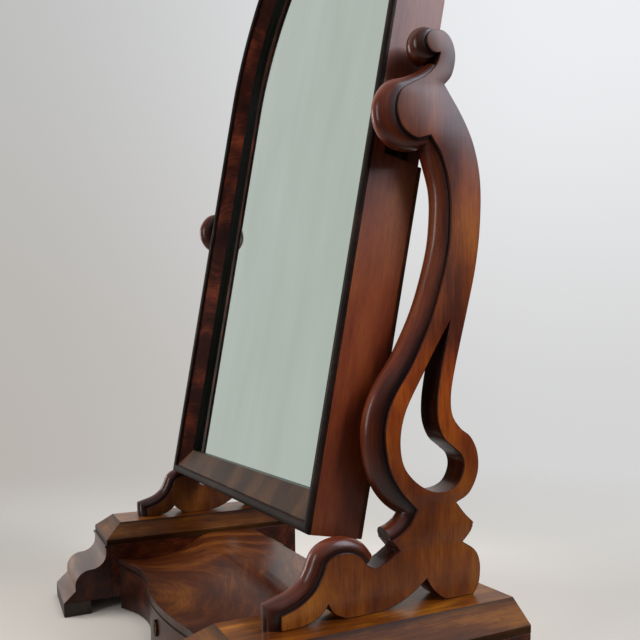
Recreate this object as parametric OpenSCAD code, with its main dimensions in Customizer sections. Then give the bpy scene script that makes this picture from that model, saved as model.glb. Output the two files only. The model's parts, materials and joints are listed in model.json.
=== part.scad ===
// Dressing table mirror: an arched box-framed glass swinging between two scrolled supports,
// on a base of two hipped plinths with a serpentine lidded compartment between them.
// Millimetres. X runs to the viewer's right, Y to the back, Z up. The origin is on the table
// under the middle of the whole, with the glass tilted as it stands.

/* [Base] */
// Width over the two plinth caps
base_w = 592; // [580:1:620]
// Width of one plinth cap at its lower edge
plinth_w = 108; // [100:1:114]
// Length of a plinth cap from front to back
plinth_l = 274; // [264:1:300]
// Height of the flat top of a plinth cap
plinth_h = 114; // [110:1:124]
// Width of the slope round a cap, seen from above
slope_w = 22; // [14:1:26]
// Drop of that slope
slope_h = 18; // [12:1:20]
// Height of the upright edge under the slope
cap_edge = 7; // [5:1:9]
// Thickness of the plinth boards
board = 12; // [9:1:15]
// Distance of the plinth front behind the cap edge
front_setback = 5; // [3:1:8]
// Height of the block feet, and of the plinth floor above the table
foot_h = 18; // [14:1:22]
// Length of a rear block foot
rear_foot_l = 34; // [28:1:44]
// Thickness of the bead strip under the cap front
strip_h = 3.5; // [2:0.5:4]
// Reach of that strip in front of the cap edge
strip_out = 2.5; // [1:0.5:4]

/* [Ogee bracket] */
// Radius of the hollow and of the round of the ogee
ogee_r = 20; // [17:0.5:21]
// Reach of the ogee foot in front of its round
toe_out = 15; // [10:1:18]
// Length of the front block foot under the bracket
toe_l = 34; // [28:1:40]
// Narrowing of bracket and feet on each side of the plinth
bracket_inset = 2; // [1:0.5:4]

/* [Compartment] */
// Radius of the bowed middle of the front
belly_r = 324; // [300:2:380]
// Radius of the hollow flanks of the front
flank_r = 140; // [130:1:170]
// Half the width of the bowed middle
belly_half = 80; // [70:1:86]
// Thickness of the serpentine front board
front_t = 10; // [8:0.5:12]
// Gap between the front board and the table
front_lift = 2; // [1:0.5:5]
// Depth from the middle of the front to the back
box_l = 181; // [174:1:190]
// Height of the lid where it is level, at the back
lid_h = 91; // [88:0.5:95]
// Height of the lowest line of the hollow in the lid
lid_low = 64.5; // [62:0.5:70]
// Distance of that lowest line behind the middle of the front
lid_low_y = 32; // [26:1:38]
// Radius of the hollow in the lid
lid_r = 126; // [115:1:140]
// Radius of the roll between the hollow and the level back of the lid
lid_roll_r = 40; // [30:2:56]
// Thickness of the lid
lid_t = 8; // [6:0.5:9]
// Overhang of the lid in front of the front board
lid_over = 2.4; // [1.6:0.2:3.2]
// Depth of the bead under the lid's front edge
bead_drop = 2.5; // [1.5:0.5:4]
// Clearance between the lid and each plinth
lid_gap = 1; // [0.5:0.1:1.5]
// Thickness of the compartment floor and back
panel_t = 8; // [6:0.5:10]

/* [Lid hinges and lock] */
// Distance of each hinge from the middle
hinge_x = 95; // [70:1:120]
// Length of a hinge
hinge_l = 48; // [36:3:60]
// Outer radius of a hinge knuckle
knuckle_r = 2.8; // [2.4:0.1:3.2]
// Radius of a hinge pin
hinge_pin_r = 1.3; // [1:0.1:1.6]
// Thickness of a hinge leaf
leaf_t = 1.5; // [1:0.1:2]
// Height of the hinge leaf on the compartment back
leaf_h = 16; // [12:1:20]
// Running clearance round the pins
run_gap = 0.05; // [0.02:0.01:0.1]
// Width of the lock case
lock_w = 46; // [36:1:56]
// Height of the lock case
lock_h = 22; // [16:1:24]
// Thickness of the lock case
lock_t = 9; // [7:0.5:11]
// Height of the keyhole centre above the table
keyhole_z = 38; // [34:0.5:42]
// Width of the oval escutcheon
plate_w = 13; // [11:0.5:16]
// Height of the oval escutcheon
plate_h = 19; // [16:0.5:22]
// How far the escutcheon stands out
plate_t = 2.5; // [1.5:0.5:3.5]

/* [Supports] */
// Height of a scrolled support
support_h = 474; // [450:2:500]
// Depth of a scrolled support at its foot
support_d = 194; // [186:1:202]
// Thickness of a support
support_t = 24; // [21:0.5:27]
// Offset of the supports from the middle of the plinths, towards the glass
support_in = 2; // [0:0.5:5]
// Distance of a support behind the front edge of the cap's flat
support_back = 40; // [36:1:46]
// Half the thickness of the round nosing on the front edge
nose_r = 10; // [8:0.5:10]
// Reach of the nosing in front of the edge, where it is fullest
nose_h = 16; // [12:0.5:17]
// Reach of the nosing round the top scroll
eye_nose_h = 9.5; // [6:0.5:10]
// Radius of the dowels that fix a support to its cap
dowel_r = 4; // [3:0.5:5]
// Length of a dowel on each side of the joint
dowel_l = 13; // [10:1:16]

/* [Swing] */
// Backward tilt of the glass as it stands
tilt = 11; // [4:0.5:16]
// Radius of the swing pins
pin_r = 4; // [3:0.5:5]
// Length of a swing pin inside its bush
pin_l = 11; // [8:0.5:12]
// Outer radius of a bush
bush_r = 8; // [6.5:0.5:9]
// Gap between the frame side and the support
swing_gap = 6; // [5:0.5:8]
// Thickness of the plate that carries a pin
pivot_plate_t = 2; // [1.5:0.5:2.5]
// Length of that plate
pivot_plate_l = 60; // [48:1:72]
// Width of that plate
pivot_plate_w = 22; // [18:1:26]
// Distance of the plate's screws from its ends
plate_screw_in = 7; // [6:0.5:10]
// Radius of the friction washer
washer_r = 9; // [7:0.5:10]

/* [Mirror frame] */
// Length of the frame's straight sides, from the bottom edge
side_l = 528; // [500:2:560]
// Depth of the frame
frame_d = 46; // [40:1:52]
// Width of the canted face with its bead
face_w = 34; // [30:1:40]
// Fall of the canted face towards the glass
face_fall = 11; // [8:0.5:14]
// Width of the outer bead
bead_w = 10; // [8:0.5:12]
// Reach of the outer bead in front of the frame
bead_h = 4.5; // [3.5:0.5:6]
// Upright part of the bead under its round
bead_upright = 2; // [1:0.5:3]
// Width of the quirk inside the bead
bead_quirk = 1; // [0.5:0.5:2]
// Depth of the lip between the canted face and the glass
lip_t = 6; // [5:0.5:9]
// Thickness of the frame's box sides
wall_t = 24; // [20:0.5:26]
// Height of the swing pins above the frame's bottom edge
pin_up = 355; // [340:1:370]
// Distance of the swing pins behind the frame's front
pin_deep = 22; // [18:0.5:26]

/* [Glass and back] */
// Thickness of the glass plate
glass_t = 5; // [4:0.5:6]
// Clearance round the glass
glass_gap = 0.5; // [0.5:0.1:1]
// Length of the blocks behind the glass
block_l = 60; // [40:1:80]
// Width of those blocks
block_w = 14; // [10:1:18]
// Height of the lower blocks above the frame's bottom edge
low_block_z = 60; // [50:5:120]
// Distance of the upper blocks' lower ends below the arch
high_block_down = 108; // [90:2:220]
// Thickness of the back panel
back_t = 7; // [5:0.5:9]
// Thickness of the planted lower back board
brace_t = 4; // [3:0.5:6]
// Height of the planted lower back board
brace_h = 325; // [280:1:345]
// Distance of the end screws from that board's edges
brace_screw_in = 25; // [15:1:40]
// Radius of a screw head
screw_r = 3.5; // [3:0.5:4.5]
// Height of a screw head
screw_h = 1.5; // [1:0.5:2]

/* [Hidden] */

mahogany = "#7a3d20";
dark_mahogany = "#4a2415";
ebony = "#2a1d18";
pine = "#b98f5f";
brass = "#a8894c";
far = 400;
arc_step = 4;

// Depth of the whole, from the toe of the bracket to the back of the tilted arch
cap_reach = ogee_r * 2 + toe_out + 1;
arch_r = base_w / 2 - plinth_w / 2 - support_in - support_t / 2 - swing_gap;
frame_h = side_l + arch_r;
swing_y_drawn = 129.5;
swing_z_drawn = 408.5;
drawn_d = 193.5;
drawn_h = 474;
draw_x = support_d / drawn_d;
draw_z = support_h / drawn_h;
front_to_pin = cap_reach + slope_w + support_back + swing_y_drawn * draw_x;
pin_to_back = (frame_h - pin_up) * sin(tilt) + (frame_d - pin_deep) * cos(tilt);
toe_y = -(front_to_pin + pin_to_back) / 2;

// Lines of the base from front to back
cap_y = toe_y + cap_reach;
flat_y = cap_y + slope_w;
cap_back = cap_y + plinth_l;
body_y = cap_y + front_setback;
plinth_x = base_w / 2 - plinth_w;
cap_z = plinth_h - slope_h - cap_edge;
strip_z = cap_z - strip_h;

// Lines of the supports and of the swing
support_x = base_w / 2 - plinth_w / 2 - support_in;
inner_x = support_x - support_t / 2;
support_y = flat_y + support_back;
swing_y = support_y + swing_y_drawn * draw_x;
swing_z = plinth_h + swing_z_drawn * draw_z;

// Lines of the compartment and its hinges
front_margin = 30;
box_back_y = flat_y + box_l;
lid_under = lid_h - lid_t;
bead_clear = 0.6;
knuckle_clear = 0.3;
hinge_y = box_back_y + knuckle_r + knuckle_clear;

plate_screw_h = 0.6;

// Glass seat inside the frame
seat_d = face_fall + lip_t;
glass_r = arch_r - wall_t - glass_gap;

// Points along a circle's arc, from one angle to another
function arc(c, r, a0, a1, n = 12) =
    [for (i = [0 : n]) let (a = a0 + (a1 - a0) * i / n) [c[0] + r * cos(a), c[1] + r * sin(a)]];

// One point of a smooth curve between b and c, with a and d as their neighbours
function blend(a, b, c, d, t) =
    0.5 * (2 * b + (c - a) * t + (2 * a - 5 * b + 4 * c - d) * t * t + (3 * b - a - 3 * c + d) * t * t * t);

// Smooth curve through a list of points, without the last one
function smooth(p, n = arc_step) =
    [for (i = [0 : len(p) - 2], j = [0 : n - 1])
        blend(p[max(i - 1, 0)], p[i], p[i + 1], p[min(i + 2, len(p) - 1)], j / n)];

// Outline of a support, from the top scroll down its front to the foot and up its back, in
// stretches between sharp corners. Each point is the distance behind the foot and the height
// above the cap. Where the edge carries the nosing, a third number gives its share of the reach.
scroll_c = [143.5, 464];
scroll_r = 9;
scroll_eye = arc(scroll_c, scroll_r, 95, 300, 14);
neck = [[148, 456, 0.2], [144, 446, 0.3], [134, 436, 0.4], [120, 427.5, 0.5], [110, 420, 0.75],
    [106.5, 408, 1], [109, 396, 0.95], [116.5, 388.5, 0.7], [128, 385.5, 0.4], [139, 389.5, 0.4]];
sweep_in = [[139, 389.5, 0.4], [150, 375, 0.7], [158, 351, 0.75], [159.5, 325, 0.8], [156, 293, 0.86],
    [142, 247, 0.9], [122, 206, 0.94], [104, 179, 0.97], [96, 159, 1], [94.5, 140, 1], [99, 117, 1],
    [110, 98, 0.9], [126, 81.5, 0.6]];
ear_top = [[126, 81.5, 0.6], [118.5, 69, 0.62], [108.5, 61.5, 0.66], [101, 58, 0.7]];
ear_hollow = [[108.5, 49], [96, 41.5], [84, 38.5], [77, 41.5]];
foot_scroll = [[77, 41.5, 0.7], [71, 49, 0.7], [61, 53.5, 0.7], [50, 53.5, 0.7], [41, 49, 0.7],
    [36, 38, 0.7], [29, 27, 0.7], [16, 17.5, 0.7], [0, 12, 0.7]];
notch_front = [[17, 0], [28, 3], [36, 8], [41, 14]];
notch_back = [[41, 14], [46, 6], [57, 0]];
arch_front = [[88, 0], [105, 3.5], [121, 11], [135.5, 21]];
arch_back = [[135.5, 21], [141.5, 11.5], [152, 2], [159, 0]];
heel = [[186, 0], [192, 9], [193.5, 26], [188, 39.5], [174, 49]];
spur_low = [[174, 49], [183, 58], [185.5, 65.5]];
spur_top = [[185.5, 65.5], [176, 74], [167, 84.5]];
belly_back = [[167, 84.5], [181, 92], [190, 109], [189.5, 127], [182, 141], [171, 149], [162.5, 160],
    [160.5, 175], [163, 193], [170, 222], [178, 253], [186, 287], [190.5, 322], [190.5, 358],
    [184, 386], [172, 408], [152.5, 432]];
crown = [[152.5, 432], [160, 441], [163.5, 456], [160, 468], [152, 474], [142.5, 473]];
drop_hole = [[159.5, 240.5], [148, 223], [131, 194.5], [115, 166], [109.5, 143], [112, 122], [122, 108],
    [138, 97.5], [154, 95.5], [168, 101], [174.5, 113.5], [172.5, 124.5], [164, 132], [153, 141],
    [146.5, 156], [146, 175], [150, 200], [155.5, 222], [159.5, 240.5]];

// Drawn points brought to the support's real size, with the reach of the nosing at each
function sized(p) = [for (q = p) [q[0] * draw_x, q[1] * draw_z]];
function nosed(p) = [for (q = p) [q[0] * draw_x, q[1] * draw_z, q[2] * nose_h]];
function whole(p) = concat(smooth(p), [p[len(p) - 1]]);

// Lines of the nosing: round the top scroll, down the whole side to the tip of the ear, mitred in
// two creases, and over the foot. Points so near a crease that the two sides would run into each
// other are left out.
upper_crease = sweep_in[0];
lower_crease = ear_top[0];
crease_clear = nose_h * 0.62;
function clear_of(p, crease) =
    [for (q = p) if (norm([q[0] - crease[0], q[1] - crease[1]]) > crease_clear) q];
eye_line = [for (i = [0 : 12]) [scroll_eye[i][0], scroll_eye[i][1],
    eye_nose_h / nose_h * sqrt(sin(14 * i + 4))]];
neck_whole = whole(neck);
neck_start = [for (i = [0 : arc_step - 1]) neck_whole[i]];
neck_line = clear_of([for (i = [arc_step : len(neck_whole) - 1]) neck_whole[i]], upper_crease);
sweep_line = clear_of(clear_of(whole(sweep_in), upper_crease), lower_crease);
side_line = concat(neck_line, [upper_crease], sweep_line, [lower_crease], clear_of(whole(ear_top), lower_crease));
foot_line = concat(whole(foot_scroll), [[0, 0, 0.7]]);
support_outline = sized(concat(scroll_eye, neck_start, side_line, smooth(ear_hollow), foot_line,
    smooth(notch_front), smooth(notch_back), [[57, 0]], smooth(arch_front), smooth(arch_back), [[159, 0]],
    smooth(heel), smooth(spur_low), smooth(spur_top), smooth(belly_back), smooth(crown)));

// Unit vector from one point to the next, and its normal on the left
function unit(v) = v / norm(v);
function left_of(v) = [-v[1], v[0]];

// Outward mitre at each point of an open path
function mitre(p, i) = let (
        before = left_of(unit(p[max(i, 1)] - p[max(i, 1) - 1])),
        after = left_of(unit(p[min(i + 1, len(p) - 1)] - p[min(i, len(p) - 2)])),
        mid = unit(before + after))
    -mid / max(mid * after, 0.3);

// Half-round nosing along an open line in the support's plane, standing out from its edge. Each
// point of the line gives the reach there as its third number.
module nosing_run(line, sides = 6) {
    n = len(line);
    path = [for (q = line) [q[0], q[1]]];
    points = [for (i = [0 : n - 1]) let (m = mitre(path, i)) for (k = [0 : sides])
        let (a = 180 * k / sides, q = path[i] + m * line[i][2] * sin(a)) [nose_r * cos(a), q[0], q[1]]];
    row = sides + 1;
    skin = [for (i = [0 : n - 2], k = [0 : sides]) let (a = i * row + k, b = i * row + (k + 1) % row)
        each [[a, a + row, b], [b, a + row, b + row]]];
    ends = [[for (k = [0 : sides]) k], [for (k = [sides : -1 : 0]) (n - 1) * row + k]];
    polyhedron(points, concat(skin, ends), convexity = 6);
}

// Draws a piece on the right as drawn, on the left as its mirror image
module on_side(side) {
    if (side > 0) children();
    else mirror([1, 0, 0]) children();
}

// Extrudes a side view, drawn as [y, z], along X from one place to another
module along_x(x0, x1) {
    translate([x0, 0, 0]) rotate([90, 0, 90]) linear_extrude(x1 - x0) children();
}

// A board between two corners
module box(a, b) {
    translate(a) cube(b - a);
}

module plinth(side) {
    color(mahogany) on_side(side) difference() {
        box([plinth_x, body_y, foot_h], [base_w / 2, cap_back, cap_z]);
        box([plinth_x + board, body_y + board, foot_h - 1], [base_w / 2 - board, cap_back - board, cap_z + 1]);
    }
}

module plinth_floor(side) {
    color(pine) on_side(side)
        box([plinth_x + board, body_y + board, foot_h],
            [base_w / 2 - board, cap_back - board, foot_h + panel_t]);
}

// Cap with a flat top and slopes to the front and to both sides
module cap(side) {
    side_view = [[cap_y, cap_z], [cap_back, cap_z], [cap_back, plinth_h], [flat_y, plinth_h],
        [cap_y, plinth_h - slope_h]];
    front_view = [[plinth_x, cap_z], [base_w / 2, cap_z], [base_w / 2, plinth_h - slope_h],
        [base_w / 2 - slope_w, plinth_h], [plinth_x + slope_w, plinth_h], [plinth_x, plinth_h - slope_h]];
    color(mahogany) on_side(side) difference() {
        intersection() {
            along_x(plinth_x, base_w / 2) polygon(side_view);
            translate([0, cap_back, 0]) rotate([90, 0, 0]) linear_extrude(plinth_l) polygon(front_view);
        }
        dowel_set();
    }
}

module strip(side) {
    color(dark_mahogany) on_side(side)
        box([plinth_x, cap_y - strip_out, strip_z], [base_w / 2, body_y, cap_z]);
}

// Ogee bracket: a hollow over a round, then a sloped toe over the block foot
module bracket(side) {
    hollow_y = cap_y - 1;
    round_y = hollow_y - ogee_r;
    toe_z = foot_h + toe_out;
    top = strip_z - (strip_z - toe_z - 2 * ogee_r) / 2;
    mid = top - ogee_r;
    profile = concat([[body_y, strip_z], [hollow_y, strip_z]],
        arc([round_y, top], ogee_r, 0, -90),
        arc([round_y, mid - ogee_r], ogee_r, 90, 180),
        [[round_y - ogee_r, toe_z], [toe_y, foot_h + 1], [toe_y, foot_h], [body_y, foot_h]]);
    color(mahogany) on_side(side)
        along_x(plinth_x + bracket_inset, base_w / 2 - bracket_inset) polygon(profile);
}

module front_foot(side) {
    color(dark_mahogany) on_side(side)
        box([plinth_x + bracket_inset, toe_y, 0], [base_w / 2 - bracket_inset, toe_y + toe_l, foot_h]);
}

module rear_foot(side) {
    color(dark_mahogany) on_side(side)
        box([plinth_x + bracket_inset, cap_back - rear_foot_l - bracket_inset, 0],
            [base_w / 2 - bracket_inset, cap_back - bracket_inset, foot_h]);
}

// Distance of the serpentine front behind its foremost point, at a distance x from the middle
turn = asin(belly_half / belly_r);
valley_x = belly_half + flank_r * sin(turn);
valley_y = (belly_r + flank_r) * (1 - cos(turn));
function serpentine(x) = abs(x) < belly_half
    ? belly_r - sqrt(belly_r * belly_r - x * x)
    : valley_y - flank_r + sqrt(flank_r * flank_r - pow(abs(x) - valley_x, 2));

// Line of the front from left to right, moved forward and kept short of the plinths
function front_line(forward, gap, n = 48) = let (w = plinth_x - gap)
    [for (i = [0 : n]) let (x = w * (2 * i / n - 1)) [x, flat_y + serpentine(x) - forward]];

// Side view of the lid from the front to the back: a hollow, a roll that it runs into, and the
// level back. A line lower by the drop keeps the same centres.
low_y = flat_y + lid_low_y;
roll_up = lid_low + lid_r - lid_h + lid_roll_r;
roll_y = low_y + sqrt(pow(lid_r + lid_roll_r, 2) - roll_up * roll_up);
roll_turn = acos(roll_up / (lid_r + lid_roll_r));
function lid_line(drop, n = 20) = let (start = asin((low_y - flat_y + front_margin) / lid_r))
    concat(arc([low_y, lid_low + lid_r], lid_r + drop, -90 - start, -90 + roll_turn, n),
        arc([roll_y, lid_h - lid_roll_r], lid_roll_r - drop, 90 + roll_turn, 90, 8), [[box_back_y, lid_h - drop]]);

// Plan of a board that follows the front line, as thick as given
module front_plan(forward, thick, gap) {
    line = front_line(forward, gap);
    back = front_line(forward - thick, gap);
    polygon(concat(line, [for (i = [len(back) - 1 : -1 : 0]) back[i]]));
}

// Everything below the lid
module under_lid() {
    line = lid_line(lid_t);
    first = line[0];
    along_x(-far, far) polygon(concat([[box_back_y, 0], [first[0], 0]], line));
}

module box_front() {
    color(dark_mahogany) difference() {
        intersection() {
            translate([0, 0, front_lift]) linear_extrude(lid_h) front_plan(0, front_t, 0);
            under_lid();
        }
        box([-lock_w / 2, flat_y + front_t - lock_t / 2, keyhole_z - lock_h / 2],
            [lock_w / 2, flat_y + 2 * front_t, keyhole_z + lock_h / 2]);
        keyway(flat_y - 1, flat_y + front_t);
    }
}

module box_back() {
    color(pine) box([-plinth_x, box_back_y - panel_t, foot_h], [plinth_x, box_back_y, lid_under]);
}

module box_floor() {
    back = box_back_y - panel_t;
    line = front_line(-front_t, 0);
    color(pine) translate([0, 0, foot_h]) linear_extrude(panel_t)
        polygon(concat([[plinth_x, back], [-plinth_x, back]], line));
}

// Keyhole: a round over a slot, cut along Y
module keyway(y0, y1) {
    translate([0, y1, keyhole_z]) rotate([90, 0, 0]) linear_extrude(y1 - y0) {
        translate([0, plate_h / 8]) circle(r = plate_w / 7, $fn = 32);
        translate([-plate_w / 14, -plate_h / 4]) square([plate_w / 7, plate_h / 3]);
    }
}

module lock_case() {
    color(brass) difference() {
        box([-lock_w / 2, flat_y + front_t - lock_t / 2, keyhole_z - lock_h / 2],
            [lock_w / 2, flat_y + front_t + lock_t / 2, keyhole_z + lock_h / 2]);
        keyway(flat_y, flat_y + front_t + 1);
    }
}

module escutcheon() {
    color(brass) difference() {
        translate([0, flat_y + 0.2, keyhole_z]) rotate([90, 0, 0]) linear_extrude(plate_t + 0.2)
            polygon([for (i = [0 : 35]) [plate_w / 2 * cos(10 * i), plate_h / 2 * sin(10 * i)]]);
        keyway(flat_y - plate_t - 1, flat_y + 1);
        translate([0, 0, front_lift]) linear_extrude(lid_h) front_plan(0, front_t, 0);
    }
}

// Lid: a shaped board, level at the back and hollow towards its serpentine front edge
module lid() {
    top = lid_line(0);
    low = lid_line(lid_t);
    n = len(top);
    cut = front_line(lid_over, lid_gap);
    color(mahogany) intersection() {
        along_x(lid_gap - plinth_x, plinth_x - lid_gap)
            polygon(concat([for (i = [0 : n - 1]) low[i]], [for (i = [n - 1 : -1 : 0]) top[i]]));
        linear_extrude(lid_h + 1)
            polygon(concat([[plinth_x, box_back_y], [-plinth_x, box_back_y]], cut));
    }
}

// Thin bead under the lid's front edge, clear of the front board
module lid_bead() {
    color(ebony) intersection() {
        linear_extrude(lid_h) front_plan(lid_over, lid_over - bead_clear, lid_gap);
        difference() {
            under_lid();
            translate([0, 0, -bead_drop]) under_lid();
        }
    }
}

// Knuckles of one hinge: the outer two on the fixed leaf, the middle one on the lid
module knuckles(middle) {
    third = hinge_l / 3;
    starts = middle ? [third] : [0, 2 * third];
    for (s = starts) translate([hinge_x - hinge_l / 2 + s + run_gap, hinge_y, lid_under]) rotate([0, 90, 0])
        cylinder(r = knuckle_r, h = third - 2 * run_gap, $fn = 48);
}

module hinge_bore(r) {
    translate([hinge_x - hinge_l, hinge_y, lid_under]) rotate([0, 90, 0])
        cylinder(r = r, h = 2 * hinge_l, $fn = 48);
}

module hinge_leaf(side) {
    third = hinge_l / 3;
    color(brass) on_side(side) difference() {
        union() {
            box([hinge_x - hinge_l / 2, box_back_y, lid_under - leaf_h],
                [hinge_x + hinge_l / 2, box_back_y + leaf_t, lid_under - knuckle_r - knuckle_clear]);
            for (s = [0, 2 * third])
                box([hinge_x - hinge_l / 2 + s + run_gap, box_back_y, lid_under - knuckle_r - 1],
                    [hinge_x - hinge_l / 2 + s + third - run_gap, box_back_y + leaf_t, lid_under]);
            knuckles(false);
        }
        hinge_bore(hinge_pin_r);
    }
}

module hinge_pin(side) {
    color(brass) on_side(side)
        translate([hinge_x - hinge_l / 2, hinge_y, lid_under]) rotate([0, 90, 0])
            cylinder(r = hinge_pin_r, h = hinge_l, $fn = 48);
}

module lid_leaf(side) {
    third = hinge_l / 3;
    color(brass) on_side(side) difference() {
        union() {
            box([hinge_x - hinge_l / 2, box_back_y, lid_under + knuckle_r + knuckle_clear],
                [hinge_x + hinge_l / 2, box_back_y + leaf_t, lid_h]);
            box([hinge_x - hinge_l / 2 + third + run_gap, box_back_y, lid_under],
                [hinge_x - hinge_l / 2 + 2 * third - run_gap, box_back_y + leaf_t, lid_under + knuckle_r + 1]);
            knuckles(true);
        }
        hinge_bore(hinge_pin_r + run_gap);
    }
}

// Places a drawing of the support's side view, [depth, height], in the support's plane
module in_support(x = 0) {
    translate([support_x + x, support_y, plinth_h]) children();
}

// The two dowels under a support, at their drawn places
dowel_places = sized([[72, 0], [172, 0]]);
module dowel_set() {
    for (p = dowel_places) in_support()
        translate([0, p[0], -dowel_l]) cylinder(r = dowel_r, h = 2 * dowel_l, $fn = 48);
}

module support(side) {
    color(mahogany) on_side(side) difference() {
        in_support(-support_t / 2) along_x(0, support_t) difference() {
            polygon(support_outline);
            polygon(sized(smooth(drop_hole)));
        }
        dowel_set();
        translate([inner_x - 1, swing_y, swing_z]) rotate([0, 90, 0])
            cylinder(r = bush_r, h = pin_l + 2, $fn = 64);
    }
}

module nosing(side) {
    color(mahogany) on_side(side) in_support() union() {
        nosing_run(nosed(eye_line));
        nosing_run(nosed(side_line));
        nosing_run(nosed(foot_line));
    }
}

module dowels(side) {
    color(pine) on_side(side) dowel_set();
}

module bush(side) {
    color(brass) on_side(side) translate([inner_x, swing_y, swing_z]) rotate([0, 90, 0]) difference() {
        cylinder(r = bush_r, h = pin_l + 1, $fn = 64);
        translate([0, 0, -1]) cylinder(r = pin_r + run_gap, h = pin_l + 1.5, $fn = 64);
    }
}

// Places what belongs to the tilted frame. Inside, Y runs to the frame's back from its front
// face, and Z up from its bottom edge.
module in_frame() {
    translate([0, swing_y, swing_z]) rotate([-tilt, 0, 0]) translate([0, -pin_deep, -pin_up]) children();
}

module washer(side) {
    color("#3a2a20") on_side(side) in_frame() translate([arch_r + pivot_plate_t, pin_deep, pin_up])
        rotate([0, 90, 0]) difference() {
            cylinder(r = washer_r, h = swing_gap - pivot_plate_t - run_gap, $fn = 64);
            translate([0, 0, -1]) cylinder(r = pin_r, h = swing_gap + 2, $fn = 64);
        }
}

module pivot(side) {
    color(brass) on_side(side) in_frame() translate([arch_r, pin_deep, pin_up]) union() {
        box([0, -pivot_plate_w / 2, -pivot_plate_l / 2], [pivot_plate_t, pivot_plate_w / 2, pivot_plate_l / 2]);
        rotate([0, 90, 0]) cylinder(r = pin_r, h = swing_gap + pin_l, $fn = 64);
        for (z = [-1, 1]) translate([0, 0, z * (pivot_plate_l / 2 - plate_screw_in)]) rotate([0, 90, 0])
            cylinder(r = screw_r, h = pivot_plate_t + plate_screw_h, $fn = 32);
    }
}

// Cross-section of the frame: distance from its outer side, then depth behind its front
frame_section = [[0, 0], [bead_w, 0], [face_w, face_fall], [face_w, seat_d], [wall_t, seat_d],
    [wall_t, frame_d], [0, frame_d]];
bead_half = (bead_w - bead_quirk) / 2;
bead_section = concat([[0, 0]],
    [for (i = [0 : 12]) let (a = 15 * i)
        [bead_half * (1 - cos(a)), -bead_upright - (bead_h - bead_upright) * sin(a)]],
    [[2 * bead_half, 0]]);

// A stretch of the right-hand side of the frame, from the bottom edge up
module upright(section) {
    linear_extrude(side_l) polygon([for (p = section) [arch_r - p[0], p[1]]]);
}

// A stretch along the bottom of the frame
module cross(section) {
    along_x(-arch_r, arch_r) polygon([for (p = section) [p[1], p[0]]]);
}

// The half ring over the straight sides
module half_ring(section) {
    translate([0, 0, side_l]) rotate([90, 0, 0]) rotate_extrude(angle = 180, $fn = 120)
        polygon([for (p = section) [arch_r - p[0], -p[1]]]);
}

// Wedge on the outer side of the bottom corner's mitre
module outside_mitre() {
    translate([0, far, 0]) rotate([90, 0, 0]) linear_extrude(2 * far)
        polygon([[arch_r + 1, -1], [arch_r - far, far - 1], [arch_r - far, 2 * far], [arch_r + 1, 2 * far]]);
}

module stile(side) {
    color(mahogany) on_side(side) in_frame() intersection() {
        upright(frame_section);
        outside_mitre();
    }
}

module side_bead(side) {
    color(ebony) on_side(side) in_frame() intersection() {
        upright(bead_section);
        outside_mitre();
    }
}

module below_mitres(section) {
    difference() {
        cross(section);
        outside_mitre();
        mirror([1, 0, 0]) outside_mitre();
    }
}

module bottom_rail() {
    color(mahogany) in_frame() below_mitres(frame_section);
}

module bottom_bead() {
    color(ebony) in_frame() below_mitres(bead_section);
}

module arch() {
    color(mahogany) in_frame() half_ring(frame_section);
}

module arch_bead() {
    color(ebony) in_frame() half_ring(bead_section);
}

// An arched panel between two depths in the frame
module arched(r, y0, y1) {
    low = arch_r - r;
    translate([0, y1, 0]) rotate([90, 0, 0]) linear_extrude(y1 - y0) union() {
        translate([-r, low]) square([2 * r, side_l - low]);
        translate([0, side_l]) circle(r = r, $fn = 120);
    }
}

module glass() {
    color("#aab8ae") in_frame() arched(glass_r, seat_d, seat_d + glass_t);
}

// A block that holds the glass against the lip
module block(side, z) {
    color(pine) on_side(side) in_frame()
        box([arch_r - wall_t - block_w, seat_d + glass_t, z],
            [arch_r - wall_t, frame_d - back_t, z + block_l]);
}

module back_panel() {
    color(pine) in_frame() arched(glass_r, frame_d - back_t, frame_d);
}

module brace_board() {
    color(dark_mahogany) in_frame() box([-arch_r, frame_d, 0], [arch_r, frame_d + brace_t, brace_h]);
}

module back_screw(x, y, z) {
    translate([x, y, z]) rotate([-90, 0, 0]) cylinder(r = screw_r, h = screw_h, $fn = 32);
}

module brace_screws() {
    color(brass) in_frame() for (x = [-1, 1], z = [brace_screw_in, brace_h / 2, brace_h - brace_screw_in])
        back_screw(x * (arch_r - wall_t / 2), frame_d + brace_t, z);
}

module panel_screws() {
    ring = glass_r - 2 * screw_r;
    color(brass) in_frame() for (a = [20 : 35 : 160])
        back_screw(ring * cos(a), frame_d, side_l + ring * sin(a));
}

plinth(-1);  // left_plinth
plinth(1);  // right_plinth
cap(-1);  // left_cap
cap(1);  // right_cap
strip(-1);  // left_strip
strip(1);  // right_strip
plinth_floor(-1);  // left_plinth_floor
plinth_floor(1);  // right_plinth_floor
bracket(-1);  // left_bracket
bracket(1);  // right_bracket
front_foot(-1);  // left_front_foot
front_foot(1);  // right_front_foot
rear_foot(-1);  // left_rear_foot
rear_foot(1);  // right_rear_foot
box_front();
box_back();
box_floor();
lock_case();
escutcheon();
lid();
lid_bead();
hinge_leaf(-1);  // left_hinge_leaf
hinge_leaf(1);  // right_hinge_leaf
hinge_pin(-1);  // left_hinge_pin
hinge_pin(1);  // right_hinge_pin
lid_leaf(-1);  // left_lid_leaf
lid_leaf(1);  // right_lid_leaf
support(-1);  // left_support
support(1);  // right_support
nosing(-1);  // left_nosing
nosing(1);  // right_nosing
dowels(-1);  // left_dowels
dowels(1);  // right_dowels
bush(-1);  // left_bush
bush(1);  // right_bush
washer(-1);  // left_washer
washer(1);  // right_washer
pivot(-1);  // left_pivot
pivot(1);  // right_pivot
bottom_rail();
stile(-1);  // left_stile
stile(1);  // right_stile
arch();
bottom_bead();
side_bead(-1);  // left_bead
side_bead(1);  // right_bead
arch_bead();
glass();
block(-1, low_block_z);  // left_low_block
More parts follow.
